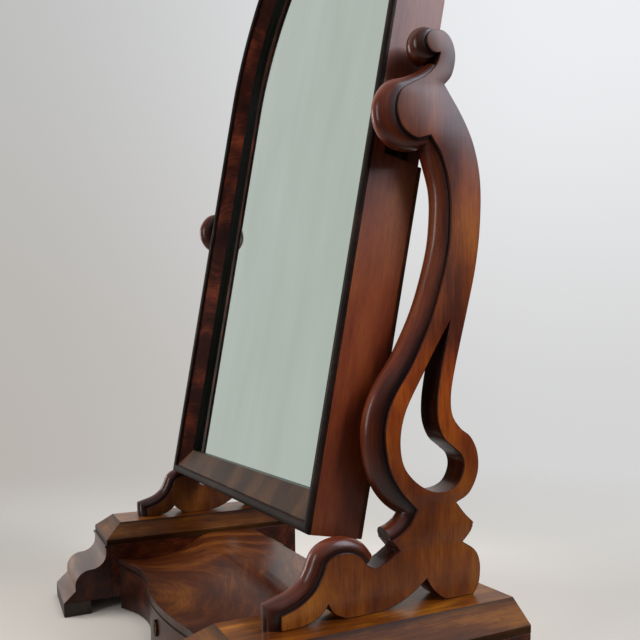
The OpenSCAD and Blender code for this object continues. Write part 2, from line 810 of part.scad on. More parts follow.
block(1, low_block_z);  // right_low_block
block(-1, side_l - high_block_down);  // left_high_block
block(1, side_l - high_block_down);  // right_high_block
back_panel();
brace_board();
brace_screws();
panel_screws();
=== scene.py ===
import json
import math
import bmesh
import bpy
import numpy as np
from mathutils import Matrix, Vector
from mathutils.geometry import tessellate_polygon

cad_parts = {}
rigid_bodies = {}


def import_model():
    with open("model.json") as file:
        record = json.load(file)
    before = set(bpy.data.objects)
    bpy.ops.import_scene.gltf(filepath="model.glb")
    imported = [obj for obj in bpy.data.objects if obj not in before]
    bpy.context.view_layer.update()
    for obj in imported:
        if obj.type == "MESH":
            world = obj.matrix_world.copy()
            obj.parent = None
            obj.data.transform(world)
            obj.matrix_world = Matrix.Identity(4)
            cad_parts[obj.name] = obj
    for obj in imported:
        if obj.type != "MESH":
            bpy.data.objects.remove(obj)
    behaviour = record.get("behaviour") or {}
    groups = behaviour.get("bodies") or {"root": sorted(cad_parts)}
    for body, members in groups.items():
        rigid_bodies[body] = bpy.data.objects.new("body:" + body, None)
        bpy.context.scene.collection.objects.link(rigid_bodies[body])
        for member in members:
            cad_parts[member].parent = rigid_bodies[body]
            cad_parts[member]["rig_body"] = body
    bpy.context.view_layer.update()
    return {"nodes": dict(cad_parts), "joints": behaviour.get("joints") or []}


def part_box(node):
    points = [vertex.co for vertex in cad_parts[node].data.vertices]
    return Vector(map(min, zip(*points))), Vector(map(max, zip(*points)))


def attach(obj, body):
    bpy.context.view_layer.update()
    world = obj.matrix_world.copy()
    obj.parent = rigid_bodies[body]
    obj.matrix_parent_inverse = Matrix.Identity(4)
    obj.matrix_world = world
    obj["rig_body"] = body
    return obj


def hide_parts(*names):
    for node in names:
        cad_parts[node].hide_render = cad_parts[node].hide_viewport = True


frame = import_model()


# Camera. A 52 degree lens stands close to the right front corner of the base, a little above
# the compartment, and looks along the glass. The frame's edge cuts the top of the arch, so the
# lens is shifted up.
IMAGE = 640  # pixels, as are the next two
FOCAL = 654.4
PRINCIPAL = (318.7, 427.9)
SENSOR = 36  # millimetres
CAMERA_AT = Vector((0.7014, -0.2453, 0.3074))
AZIMUTH, PITCH, ROLL = (math.radians(a) for a in (63.5, -4.35, -0.64))

level = Vector((-math.sin(AZIMUTH), math.cos(AZIMUTH), 0))
ahead = level * math.cos(PITCH) + Vector((0, 0, math.sin(PITCH)))
side = Vector((math.cos(AZIMUTH), math.sin(AZIMUTH), 0))
over = side.cross(ahead)
right = side * math.cos(ROLL) + over * math.sin(ROLL)
up = over * math.cos(ROLL) - side * math.sin(ROLL)
lens = bpy.data.cameras.new("camera")
lens.sensor_width = SENSOR
lens.lens = SENSOR * FOCAL / IMAGE
lens.shift_x = (IMAGE / 2 - PRINCIPAL[0]) / IMAGE
lens.shift_y = (PRINCIPAL[1] - IMAGE / 2) / IMAGE
lens.clip_start = 0.01
camera = bpy.data.objects.new("camera", lens)
turn = Matrix((right, up, -ahead)).transposed().to_4x4()
camera.matrix_world = Matrix.Translation(CAMERA_AT) @ turn
bpy.context.scene.collection.objects.link(camera)
bpy.context.scene.camera = camera
bpy.context.scene.view_settings.view_transform = "Standard"


# Studio. A pale paper floor fades into a light grey backdrop under six soft lamps; the backdrop is painted
# darker to the left and towards the bottom, as light that falls off. The polish mirrors a pale wall on the
# left, a dark room in front and, on the right, a dusk that brightens with height. It mirrors three lamps too:
# a tall one behind on the right and two narrow ones in front.
def linear(hex_colour):
    """Linear RGBA of an sRGB hex colour: each channel c becomes ((c + 0.055) / 1.055) ^ 2.4."""
    channels = [int(hex_colour[i:i + 2], 16) / 255 for i in (1, 3, 5)]
    return [c / 12.92 if c <= 0.04045 else ((c + 0.055) / 1.055) ** 2.4 for c in channels] + [1.0]


def add(tree, kind, inputs=None, out=0, stops=(), **settings):
    """Adds one node and returns its output out. An input that is given another node's output is
    joined to it, and any other is set. Stops are a colour ramp's (place, linear colour) pairs."""
    node = tree.nodes.new(kind)
    for name, value in settings.items():
        setattr(node, name, value)
    for key, value in (inputs or {}).items():
        if isinstance(value, bpy.types.NodeSocket):
            tree.links.new(value, node.inputs[key])
        else:
            node.inputs[key].default_value = value
    for i, (place, colour) in enumerate(stops):
        bands = node.color_ramp.elements
        band = bands[i] if i < 2 else bands.new(place)
        band.position = place
        band.color = colour
    return node.outputs[out] if node.outputs else None


def new_material(name):
    """An empty node material and its tree."""
    material = bpy.data.materials.new(name)
    material.use_nodes = True
    material.node_tree.nodes.clear()
    return material, material.node_tree


def lamp(name, place, target, size, watts, mirrored=False, colour=(1, 1, 1)):
    """Rectangular area lamp at place, turned to target. The polish shows it only where mirrored."""
    light = bpy.data.lights.new(name, "AREA")
    light.shape = "RECTANGLE"
    light.size, light.size_y = size
    light.energy = watts
    light.color = colour
    holder = bpy.data.objects.new(name, light)
    holder.visible_glossy = mirrored
    aim = Vector(target) - Vector(place)
    turned = aim.to_track_quat("-Z", "Y").to_matrix().to_4x4()
    holder.matrix_world = Matrix.Translation(place) @ turned
    bpy.context.scene.collection.objects.link(holder)


world = bpy.data.worlds.new("studio")
bpy.context.scene.world = world
world.use_nodes = True
sky = world.node_tree
sky.nodes.clear()
direction = add(sky, "ShaderNodeTexCoord", out="Generated")
UPWARDS, RIGHT, FRONT = (0, 0, 1), (1, 0, 0), (0.3, -0.954, 0)


def turned_to(way, low, high):
    """Goes smoothly from 0 to 1 as the part of a ray's direction that lies along way goes from low
    to high."""
    along = add(sky, "ShaderNodeVectorMath", {0: direction, 1: way}, "Value", operation="DOT_PRODUCT")
    return add(sky, "ShaderNodeMapRange", {"Value": along, "From Min": low, "From Max": high},
               interpolation_type="SMOOTHSTEP")


# The backdrop's two ramps paint light falling off to the left and towards the bottom.
across = turned_to(side, -0.5, 0.35)
wall_high = add(sky, "ShaderNodeValToRGB", {"Fac": across},
                stops=[(0, linear("#bcbcbb")), (1, linear("#eeeff2"))])
wall_low = add(sky, "ShaderNodeValToRGB", {"Fac": across},
               stops=[(0, linear("#b9b4ae")), (1, linear("#d4d4d4"))])
backdrop = add(sky, "ShaderNodeMix", {0: turned_to(UPWARDS, -0.1, 0.5), 6: wall_low, 7: wall_high},
               out=2, data_type="RGBA")
dusk = add(sky, "ShaderNodeValToRGB", {"Fac": turned_to(UPWARDS, -0.1, 0.6)},
           stops=[(0, linear("#2a2522")), (0.4, linear("#3f3a3a")), (1, linear("#b4acb2"))])
walls = add(sky, "ShaderNodeMix", {0: turned_to(RIGHT, -0.25, 0.25), 6: linear("#c6c9c7"), 7: dusk},
            out=2, data_type="RGBA")
unlit = add(sky, "ShaderNodeMix", {0: turned_to(UPWARDS, 0.1, 0.5), 6: linear("#504c49"),
            7: linear("#8f8c88")}, out=2, data_type="RGBA")
room = add(sky, "ShaderNodeMix", {0: turned_to(FRONT, 0.4, 0.65), 6: walls, 7: unlit}, out=2,
           data_type="RGBA")
ambient = add(sky, "ShaderNodeValToRGB", {"Fac": turned_to(UPWARDS, -0.3, 0.6)},
              stops=[(0, linear("#2a2725")), (1, linear("#e4e5ea"))])
seen = {ray: add(sky, "ShaderNodeLightPath", out=f"Is {ray} Ray")
        for ray in ("Camera", "Glossy", "Transmission")}
direct = add(sky, "ShaderNodeMath", {0: seen["Camera"], 1: seen["Transmission"]}, operation="MAXIMUM")
lighting, mirrored_room, plain = [add(sky, "ShaderNodeBackground", {"Color": colour, "Strength": strength})
                                  for colour, strength in ((ambient, 0.33), (room, 1.0), (backdrop, 1.0))]
indirect = add(sky, "ShaderNodeMixShader", {"Fac": seen["Glossy"], 1: lighting, 2: mirrored_room})
shown = add(sky, "ShaderNodeMixShader", {"Fac": direct, 1: indirect, 2: plain})
add(sky, "ShaderNodeOutputWorld", {"Surface": shown})

lamp("tall right", (1.27, 1.29, 1.84), (0.2, 0.1, 0.5), (1.2, 1.4), 26, mirrored=True,
     colour=(0.84, 0.87, 1))
lamp("high right", (1.6, 1.1, 1.8), (0.2, 0, 0.3), (1.0, 1.0), 32)
lamp("left", (-1.9, -1.9, 0.9), (0, 0, 0.35), (0.4, 1.2), 14, mirrored=True)
lamp("left fill", (-1.2, -2.1, 1.5), (0, -0.2, 0.2), (1.2, 1.2), 48)
lamp("front strip", (1.0, -2.2, 1.0), (0.24, 0, 0.35), (0.3, 1.5), 11, mirrored=True)
lamp("overhead", (-0.3, 0.2, 2.4), (0, 0, 0.1), (1.6, 1.2), 22)

FLOOR_RADIUS = 1.8
RIM_CORNERS = 96
MIRRORED_PALENESS = 0.5


def paper():
    """Matt paper in a plain tone, with a painted pool of light that makes it palest in the middle, which
    thins out to nothing towards the floor's rim. It is darker to other rays than to the camera's, and halfway
    to mirrored ones, so it throws less light back up than it shows, as the floor of a deep room does."""
    material, tree = new_material("studio paper")
    place = add(tree, "ShaderNodeTexCoord", out="Object")
    from_middle = add(tree, "ShaderNodeVectorMath", {0: place}, "Value", operation="LENGTH")
    fade, near = [add(tree, "ShaderNodeMapRange", {"Value": from_middle, "From Min": start, "From Max": end},
                      interpolation_type="SMOOTHSTEP")
                  for start, end in ((0.25, 0.97 * FLOOR_RADIUS), (0.8, 0.2))]
    looked_at = add(tree, "ShaderNodeLightPath", out="Is Camera Ray")
    mirrored = add(tree, "ShaderNodeLightPath", out="Is Glossy Ray")
    paleness = add(tree, "ShaderNodeMath", {0: mirrored, 1: MIRRORED_PALENESS, 2: looked_at},
                   operation="MULTIPLY_ADD")
    # A painted pool of light: the paper is paler near the middle.
    pale = add(tree, "ShaderNodeMix", {0: near, 6: linear("#b5b2ac"), 7: linear("#cfc9c0")}, out=2,
               data_type="RGBA")
    tone = add(tree, "ShaderNodeMix", {0: paleness, 6: linear("#6f6c69"), 7: pale}, out=2,
               data_type="RGBA")
    matt = add(tree, "ShaderNodeBsdfDiffuse", {"Color": tone, "Roughness": 0.6})
    clear = add(tree, "ShaderNodeBsdfTransparent")
    thinned = add(tree, "ShaderNodeMixShader", {"Fac": fade, 1: matt, 2: clear})
    add(tree, "ShaderNodeOutputMaterial", {"Surface": thinned})
    return material


rim = [(FLOOR_RADIUS * math.cos(a), FLOOR_RADIUS * math.sin(a), 0)
       for a in np.linspace(0, 2 * math.pi, RIM_CORNERS, endpoint=False)]
floor_mesh = bpy.data.meshes.new("floor")
floor_mesh.from_pydata(rim, [], [list(range(RIM_CORNERS))])
floor_mesh.materials.append(paper())
floor = bpy.data.objects.new("floor", floor_mesh)
bpy.context.scene.collection.objects.link(floor)


# Base. Two plinths of veneered mahogany, each a box under a hipped cap with a thin moulded strip
# below its front edge. An ogee bracket and block feet carry each one. All is French polished: a
# thin hard shine over dark, open-grained wood.
def wood_place(tree, turn_deg, by_uv):
    """Coordinates in metres with the grain along the first axis."""
    source = add(tree, "ShaderNodeTexCoord", out="UV" if by_uv else "Object")
    return add(tree, "ShaderNodeMapping", {"Vector": source,
               "Rotation": [math.radians(a) for a in turn_deg]}, vector_type="POINT")


def mahogany(name, dark, mid, light, turn_deg=(0, 0, 0), by_uv=False, flame=0.0, shine=0.55,
             satin=0.14, rough=0.42, under=0.1, figure=0.76, deepened=(), across=()):
    """French-polished mahogany. Short streaks, 5 mm wide, and fine ones, 1.1 mm wide, run along the
    grain over clouds of 40 mm; the streaks give the wood its direction and the clouds its golden
    and its dark places. Pores are drawn as ticks 0.7 mm wide, coarser than real ones so that they
    show. Flame bends the streaks into plumes. The polish is a thin satin coat. deepened gives shares
    that multiply the colour at heights above the floor, and across gives them at distances from the
    long edge of a UV strip; the callers use them for painted shade and painted sheen, and to darken
    the caps' arrises."""
    material, tree = new_material(name)
    place = wood_place(tree, turn_deg, by_uv)
    if flame:
        swirl = add(tree, "ShaderNodeTexNoise", {"Vector": place, "Scale": 6.0, "Detail": 2.0}, "Color")
        drift = add(tree, "ShaderNodeVectorMath", {0: swirl, 1: (0.05, 0.09, 0.05), 2: place},
                    operation="MULTIPLY_ADD")
        x, y, z = [add(tree, "ShaderNodeSeparateXYZ", {"Vector": drift}, axis) for axis in "XYZ"]
        square = add(tree, "ShaderNodeMath", {0: x, 1: x}, operation="MULTIPLY")
        bent = add(tree, "ShaderNodeMath", {0: square, 1: flame, 2: y}, operation="MULTIPLY_ADD")
        place = add(tree, "ShaderNodeCombineXYZ", {"X": x, "Y": bent, "Z": z})

    def streaks(length, width, detail, seed):
        """Noise drawn out along the grain: one cell is about length by width, in metres."""
        drawn = add(tree, "ShaderNodeMapping", {"Vector": place, "Location": (seed, seed * 0.7, seed * 1.3),
                    "Scale": (1 / length, 1 / width, 1 / width)}, vector_type="POINT")
        return add(tree, "ShaderNodeTexNoise", {"Vector": drawn, "Scale": 1.0, "Detail": detail,
                   "Roughness": 0.55}, "Fac")

    short = streaks(0.09, 0.005, 3.0, 3.1)
    fine = streaks(0.03, 0.0011, 2.0, 7.7)
    clouds = streaks(0.10, 0.04, 4.0, 11.3)
    pores = streaks(0.009, 0.0007, 1.0, 5.9)
    ticks = add(tree, "ShaderNodeMapRange", {"Value": pores, "From Min": 0.28, "From Max": 0.40,
                "To Min": 0.55, "To Max": 0.0})
    tone = add(tree, "ShaderNodeMix", {0: figure, 2: short, 3: clouds})
    tone = add(tree, "ShaderNodeMix", {0: 0.2, 2: tone, 3: fine})
    colour = add(tree, "ShaderNodeValToRGB", {"Fac": tone},
                 stops=[(0.36, linear(dark)), (0.5, linear(mid)), (0.66, linear(light))])
    colour = add(tree, "ShaderNodeMix", {0: ticks, 6: colour, 7: linear(dark)}, out=2, data_type="RGBA")
    for source, axis, shares in (("Object", "Z", deepened), ("UV", "Y", across)):
        if shares:
            at = add(tree, "ShaderNodeTexCoord", out=source)
            along = add(tree, "ShaderNodeSeparateXYZ", {"Vector": at}, axis)
            shade = add(tree, "ShaderNodeValToRGB", {"Fac": along},
                        stops=[(start, [*np.broadcast_to(share, 3), 1.0]) for start, share in shares])
            colour = add(tree, "ShaderNodeMix", {0: 1.0, 6: colour, 7: shade}, out=2, data_type="RGBA",
                         blend_type="MULTIPLY")
    dips = add(tree, "ShaderNodeBump", {"Strength": 0.12, "Distance": 0.0002, "Height": fine})
    wavy = add(tree, "ShaderNodeTexNoise", {"Vector": place, "Scale": 24.0, "Detail": 1.0}, "Fac")
    film = add(tree, "ShaderNodeBump", {"Strength": 0.10, "Distance": 0.0006, "Height": wavy})
    film = add(tree, "ShaderNodeBump", {"Strength": 0.25, "Distance": 0.0001, "Height": fine, "Normal": film})
    polished = add(tree, "ShaderNodeBsdfPrincipled", {
        "Base Color": colour, "Roughness": rough, "IOR": 1.5, "Specular IOR Level": under,
        "Coat Weight": shine, "Coat Roughness": satin, "Coat IOR": 1.5, "Normal": dips, "Coat Normal": film})
    add(tree, "ShaderNodeOutputMaterial", {"Surface": polished})
    return material


MERGED_WITHIN = 1e-6
FLAT_WITHIN = 0.5  # degrees between faces that are joined to one


def dressed(node, material, bevel=0.0006, others=(), uv=None, seen_from=None, arris=None, sharp=28):
    """Stands in for a flat-sided CAD node: its own mesh, merged, with its sharp edges eased. Each of
    the others is a material and a test of a face's normal and middle; it goes on the faces that
    pass. uv turns places into UV, and seen_from gives a face's normal and middle in other axes.
    Edges that turn by more than sharp degrees are eased, and take the arris material if there is
    one."""
    mesh = frame["nodes"][node].data.copy()
    work = bmesh.new()
    work.from_mesh(mesh)
    bmesh.ops.remove_doubles(work, verts=work.verts, dist=MERGED_WITHIN)
    bmesh.ops.dissolve_limit(work, angle_limit=math.radians(FLAT_WITHIN), verts=work.verts, edges=work.edges)
    work.to_mesh(mesh)
    work.free()
    mesh.materials.clear()
    for finish in [material] + [other for other, accepts in others] + ([arris] if arris else []):
        mesh.materials.append(finish)
    for face in mesh.polygons:
        at = seen_from(face) if seen_from else (face.normal, face.center)
        passed = [i + 1 for i, (other, accepts) in enumerate(others) if accepts(*at)]
        face.material_index = passed[0] if passed else 0
    if uv:
        layer = mesh.uv_layers.new(name="metres")
        for loop in mesh.loops:
            layer.data[loop.index].uv = uv(mesh.vertices[loop.vertex_index].co)
    mesh.shade_smooth()
    mesh.set_sharp_from_angle(angle=math.radians(sharp))
    piece = bpy.data.objects.new(node + "_dressed", mesh)
    bpy.context.scene.collection.objects.link(piece)
    if bevel:
        eased = piece.modifiers.new("eased", "BEVEL")
        eased.width = bevel
        eased.segments = 2
        eased.limit_method = "ANGLE"
        eased.angle_limit = math.radians(sharp)
        eased.harden_normals = True
        if arris:
            eased.material = len(mesh.materials) - 1
    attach(piece, frame["nodes"][node]["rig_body"])
    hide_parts(node)
    return piece


GRAIN_X, GRAIN_Y, GRAIN_Z = (0, 0, 0), (0, 0, -90), (0, 90, 0)
CAP_ARRISES = [(0.095, 0.25), (0.0985, 1), (0.1085, 1), (0.1138, 0.25)]  # darker at the edge's arrises
cap_wood = mahogany("polished mahogany cap", "#331405", "#653409", "#a4661a", GRAIN_Y, satin=0.2,
                    shine=0.5)
cap_front_wood = mahogany("polished mahogany cap front", "#351905", "#5c3209", "#7d4e1b", GRAIN_X,
                          satin=0.2, shine=0.2, deepened=CAP_ARRISES)
cap_slope_wood = mahogany("polished mahogany cap slope", "#2c1205", "#522b09", "#7f4f1a", GRAIN_Y,
                          satin=0.3, shine=0.1, deepened=CAP_ARRISES)
plinth_wood = mahogany("polished mahogany plinth", "#1c0703", "#3a1407", "#6b3110", GRAIN_Y, flame=4.0,
                       shine=0.4)
bracket_wood = mahogany("polished mahogany bracket", "#26130b", "#4d2a19", "#83573a", GRAIN_X, satin=0.3,
                        shine=0.9)
# The strip is a real moulding; its dark colour also paints the shade under the cap's edge.
strip_wood = mahogany("polished dark strip", "#140805", "#260f09", "#3f1d15", GRAIN_X)
arris_wood = mahogany("dark polish on arrises", "#0c0403", "#1d0b05", "#36180b", GRAIN_X, shine=0.3,
                      satin=0.3)
foot_wood = mahogany("dark block foot", "#17100d", "#2e231d", "#473a31", GRAIN_X, shine=0.6, satin=0.35,
                     rough=0.55)

for hand in ("left", "right"):
    dressed(hand + "_cap", cap_wood, 0.002,
            [(cap_front_wood, lambda normal, place: normal.y < -0.3),
             (cap_slope_wood, lambda normal, place: abs(normal.x) > 0.3)], arris=arris_wood, sharp=12)
    dressed(hand + "_plinth", plinth_wood)
    dressed(hand + "_strip", strip_wood, 0.0009)
    dressed(hand + "_bracket", bracket_wood, 0.0004,
            [(plinth_wood, lambda normal, place: abs(normal.x) > 0.9)])
    for end in ("_front_foot", "_rear_foot"):
        dressed(hand + end, foot_wood, 0.0012)


# Compartment. A serpentine front board and a shaped lid, both faced with flame veneer and
# polished, with a thin dark bead along the lid's edge. The floor and the back are plain pine, and
# the lock, its plate and the hinges are brass.
def pine(name, turn_deg):
    """Planed pine gone brown with age: growth rings 5 mm apart and a dry, dull surface."""
    material, tree = new_material(name)
    place = wood_place(tree, turn_deg, False)
    drawn = add(tree, "ShaderNodeMapping", {"Vector": place, "Scale": (1.5, 200, 200)})
    rings = add(tree, "ShaderNodeTexNoise", {"Vector": drawn, "Scale": 1.0, "Detail": 3.0}, "Fac")
    blots = add(tree, "ShaderNodeTexNoise", {"Vector": place, "Scale": 9.0, "Detail": 4.0}, "Fac")
    tone = add(tree, "ShaderNodeMix", {0: 0.35, 2: rings, 3: blots})
    colour = add(tree, "ShaderNodeValToRGB", {"Fac": tone},
                 stops=[(0.3, linear("#6e4a28")), (0.5, linear("#96703f")), (0.7, linear("#b38a56"))])
    rise = add(tree, "ShaderNodeBump", {"Strength": 0.25, "Distance": 0.0003, "Height": rings})
    dry = add(tree, "ShaderNodeBsdfPrincipled", {"Base Color": colour, "Roughness": 0.62, "Normal": rise})
    add(tree, "ShaderNodeOutputMaterial", {"Surface": dry})
    return material


def aged_brass(name, tone_dark, tone_light, roughness):
    """Cast and filed brass, gone brown in blotches of 6 mm, with fine file marks."""
    material, tree = new_material(name)
    place = add(tree, "ShaderNodeTexCoord", out="Object")
    blots = add(tree, "ShaderNodeTexNoise", {"Vector": place, "Scale": 160.0, "Detail": 5.0}, "Fac")
    marks = add(tree, "ShaderNodeTexNoise", {"Vector": place, "Scale": 1400.0, "Detail": 1.0}, "Fac")
    colour = add(tree, "ShaderNodeValToRGB", {"Fac": blots},
                 stops=[(0.35, linear(tone_dark)), (0.65, linear(tone_light))])
    rise = add(tree, "ShaderNodeBump", {"Strength": 0.2, "Distance": 0.0001, "Height": marks})
    metal = add(tree, "ShaderNodeBsdfPrincipled", {"Base Color": colour, "Metallic": 1.0,
                "Roughness": roughness, "Normal": rise})
    add(tree, "ShaderNodeOutputMaterial", {"Surface": metal})
    return material


def finish_node(node, material):
    """Gives a carried-over CAD node its material."""
    slots = frame["nodes"][node].data.materials
    slots.clear()
    slots.append(material)


lid_wood = mahogany("flame mahogany lid", "#2a0e05", "#4c220b", "#7d4719", GRAIN_X, flame=5.0, satin=0.26,
                    shine=0.7)
front_wood = mahogany("flame mahogany front", "#190704", "#32140a", "#5e2f18", GRAIN_X, flame=4.0,
                      satin=0.34, shine=1.0)
ebonised = mahogany("ebonised bead", "#100806", "#1c110c", "#32221a", GRAIN_X, shine=0.07, satin=0.25,
                    rough=0.55)
pine_x = pine("aged pine, grain across", GRAIN_X)
pine_y = pine("aged pine, grain front to back", GRAIN_Y)
brass = aged_brass("aged brass", "#5d4520", "#a68545", 0.34)
dark_brass = aged_brass("tarnished brass", "#241a10", "#5f4a2a", 0.42)

dressed("lid", lid_wood, 0.001, [(front_wood, lambda normal, place: abs(normal.z) < 0.5)],
        arris=arris_wood)
dressed("box_front", front_wood, 0.0003)
dressed("lid_bead", ebonised, 0.0003)
finish_node("box_back", pine_x)
finish_node("box_floor", pine_x)
finish_node("lock_case", brass)
dressed("escutcheon", dark_brass, 0.0005)
for hand in ("left", "right"):
    finish_node(hand + "_plinth_floor", pine_y)
    for part in ("_hinge_leaf", "_hinge_pin", "_lid_leaf"):
        finish_node(hand + part, brass)


# Supports. Each is fretted from a 24 mm mahogany board to a C-scroll with a pierced teardrop, and a
# half-round nosing is worked along its front edge; the quirk on each side of it is painted in as a dark line
# of shade. Dowels fix it to its cap.
IN_PLANE_WITHIN = 2e-5
CREASE = 24  # degrees: where a line turns by more, it has a corner
OUTLINE_STEPS, NOSING_STEPS = 3, 4  # parts into which a span of a round stretch is split
MITRE_LIMIT = 0.3  # least cosine of half a turn that a mitre follows


def tied(node, x):
    """A CAD node's places, merged, its triangles as rows of their numbers, and which of the places
    lie in the plane at x."""
    mesh = frame["nodes"][node].data
    co = np.empty(len(mesh.vertices) * 3)
    mesh.vertices.foreach_get("co", co)
    places, index = np.unique(np.round(co.reshape(-1, 3), 6), axis=0, return_inverse=True)
    corners = index.reshape(-1)[np.array([face.vertices[:] for face in mesh.polygons])]
    return places, corners, np.abs(places[:, 0] - x) < IN_PLANE_WITHIN


def chains(pairs):
    """Joins directed pairs of places into runs, open ones first from their free end."""
    after = dict(pairs)
    reached = set(after.values())
    starts = [a for a in after if a not in reached]
    runs = []
    while after:
        here = starts.pop() if starts else next(iter(after))
        run = [here]
        while here in after:
            here = after.pop(here)
            run.append(here)
        runs.append(run)
    return runs


def outlines(node, x):
    """Closed outlines, as (y, z), of a node's flat side in the plane at x: outer one first."""
    places, corners, in_plane = tied(node, x)
    flat = corners[in_plane[corners].all(axis=1)]
    edges = {(a, b) for tri in flat.tolist() for a, b in zip(tri, tri[1:] + tri[:1])}
    border = [(a, b) for a, b in edges if (b, a) not in edges]
    loops = [places[run[:-1]][:, 1:] for run in chains(border)]
    return sorted(loops, key=lambda loop: -np.ptp(loop[:, 1]))


def ridges(node, x, away):
    """Lines, as (y, z), along which a node's surface crosses the plane at x, each followed in the
    same direction: the triangle on its side away from the plane runs the way given."""
    places, corners, in_plane = tied(node, x)
    pairs = []
    for tri in corners.tolist():
        for a, b, c in zip(tri, tri[1:] + tri[:1], tri[2:] + tri[:2]):
            if in_plane[a] and in_plane[b] and not in_plane[c] and away(places[c, 0] - x):
                pairs.append((a, b))
    return [places[run][:, 1:] for run in chains(pairs)]


def turning(points, closed):
    """Angle in degrees by which a line turns at each of its points."""
    before = points - np.roll(points, 1, axis=0)
    after = np.roll(points, -1, axis=0) - points
    cross = before[:, 0] * after[:, 1] - before[:, 1] * after[:, 0]
    angle = np.degrees(np.arctan2(cross, (before * after).sum(axis=1)))
    if not closed:
        angle[[0, -1]] = 0
    return angle


def eased_run(points, steps):
    """Cubic through points, whose first two numbers are the place. Each tangent is that of the
    parabola through a point and its neighbours. Each span but the two end ones is split in steps."""
    if len(points) < 3:
        return points
    lengths = np.linalg.norm(np.diff(points[:, :2], axis=0), axis=1)
    slopes = np.diff(points, axis=0) / lengths[:, None]
    weight = lengths[:-1] / (lengths[:-1] + lengths[1:])
    inner = slopes[:-1] * (1 - weight)[:, None] + slopes[1:] * weight[:, None]
    tangents = np.vstack([2 * slopes[0] - inner[0], inner, 2 * slopes[-1] - inner[-1]])
    t = np.linspace(0, 1, steps + 1)[:-1, None]
    out = []
    for i, length in enumerate(lengths):
        if i in (0, len(lengths) - 1):
            out.append(points[i:i + 1])
            continue
        a, b = points[i], points[i + 1]
        out.append(a * (2 * t**3 - 3 * t**2 + 1) + tangents[i] * length * (t**3 - 2 * t**2 + t)
                   + b * (3 * t**2 - 2 * t**3) + tangents[i + 1] * length * (t**3 - t**2))
    return np.vstack(out + [points[-1:]])


def smooth_outline(loop):
    """Finer copy of a closed outline, smooth between its corners."""
    corners = np.flatnonzero(np.abs(turning(loop, True)) > CREASE)
    if len(corners) == 0:
        corners = np.array([0])
    loop = np.roll(loop, -corners[0], axis=0)
    ends = list(corners - corners[0]) + [len(loop)]
    loop = np.vstack([loop, loop[:1]])
    return np.vstack([eased_run(loop[a:b + 1], OUTLINE_STEPS)[:-1] for a, b in zip(ends, ends[1:])])


def mitres(points, closed):
    """Vector at each point that moves both neighbouring sides outwards by one, to the right of the
    line. It is 1 over the cosine of half the turn long, up to 1 over the mitre limit."""
    if closed:
        before = points - np.roll(points, 1, axis=0)
        after = np.roll(points, -1, axis=0) - points
    else:
        spans = np.diff(points, axis=0)
        before = np.vstack([spans[:1], spans])
        after = np.vstack([spans, spans[-1:]])
    before = before / np.linalg.norm(before, axis=1)[:, None]
    after = after / np.linalg.norm(after, axis=1)[:, None]
    normals = [np.stack([v[:, 1], -v[:, 0]], axis=1) for v in (before, after)]
    middle = normals[0] + normals[1]
    middle /= np.linalg.norm(middle, axis=1)[:, None]
    return middle / np.maximum((middle * normals[1]).sum(axis=1), MITRE_LIMIT)[:, None]


def swept(points, out, profile, closed):
    """Grid of a profile carried along a line in the Y-Z plane. The profile is (reach, x): reach goes
    along the mitre vector. Returns the places and their UV, both in metres."""
    if closed:
        points = np.vstack([points, points[:1]])
        out = np.vstack([out, out[:1]])
    reach, x = np.asarray(profile, float).T
    yz = points[:, None, :] + out[:, None, :] * reach[None, :, None]
    grid = np.concatenate([np.broadcast_to(x[None, :, None], yz.shape[:2] + (1,)), yz], axis=2)
    along = np.concatenate([[0], np.cumsum(np.linalg.norm(np.diff(points, axis=0), axis=1))])
    around = np.concatenate([[0], np.cumsum(np.hypot(np.diff(reach), np.diff(x)))])
    return grid, np.stack(np.meshgrid(along, around, indexing="ij"), axis=2)


def grid_faces(n, m, first=0):
    """Quads of an n by m grid of places numbered row by row."""
    number = np.arange(n * m).reshape(n, m) + first
    quads = np.stack([number[:-1, :-1], number[1:, :-1], number[1:, 1:], number[:-1, 1:]], axis=2)
    return quads.reshape(-1, 4)


def make_piece(name, grids, flats, materials, body, nodes, angle=32):
    """One closed piece from grids of (places, UV, material number) and flats of (loops, UV axes,
    material number). Shared edges are merged and the faces turned outwards."""
    places, faces, uvs, marks = [], [], [], []
    for grid, uv, mark in grids:
        quads = grid_faces(*grid.shape[:2], first=sum(map(len, places)))
        places.append(grid.reshape(-1, 3))
        uvs.append(uv.reshape(-1, 2))
        faces += quads.tolist()
        marks += [mark] * len(quads)
    for loops, axes, mark in flats:
        first = sum(map(len, places))
        points = np.vstack(loops)
        triangles = tessellate_polygon([[Vector(p) for p in loop] for loop in loops])
        places.append(points)
        uvs.append(points[:, list(axes)])
        faces += [[first + i for i in tri] for tri in triangles]
        marks += [mark] * len(triangles)
    mesh = bpy.data.meshes.new(name)
    mesh.from_pydata(np.vstack(places).tolist(), [], faces)
    corners = np.empty(len(mesh.loops), int)
    mesh.loops.foreach_get("vertex_index", corners)
    layer = mesh.uv_layers.new(name="metres")
    layer.data.foreach_set("uv", np.vstack(uvs)[corners].ravel())
    mesh.polygons.foreach_set("material_index", marks)
    for material in materials:
        mesh.materials.append(material)
    work = bmesh.new()
    work.from_mesh(mesh)
    bmesh.ops.remove_doubles(work, verts=work.verts, dist=2 * MERGED_WITHIN)
    bmesh.ops.recalc_face_normals(work, faces=work.faces)
    work.to_mesh(mesh)
    work.free()
    mesh.shade_smooth()
    mesh.set_sharp_from_angle(angle=math.radians(angle))
    piece = bpy.data.objects.new(name, mesh)
    bpy.context.scene.collection.objects.link(piece)
    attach(piece, body)
    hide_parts(*nodes)
    return piece


def at_x(loop, x):
    """A (y, z) loop put in the plane at x."""
    return np.column_stack([np.full(len(loop), x), loop])


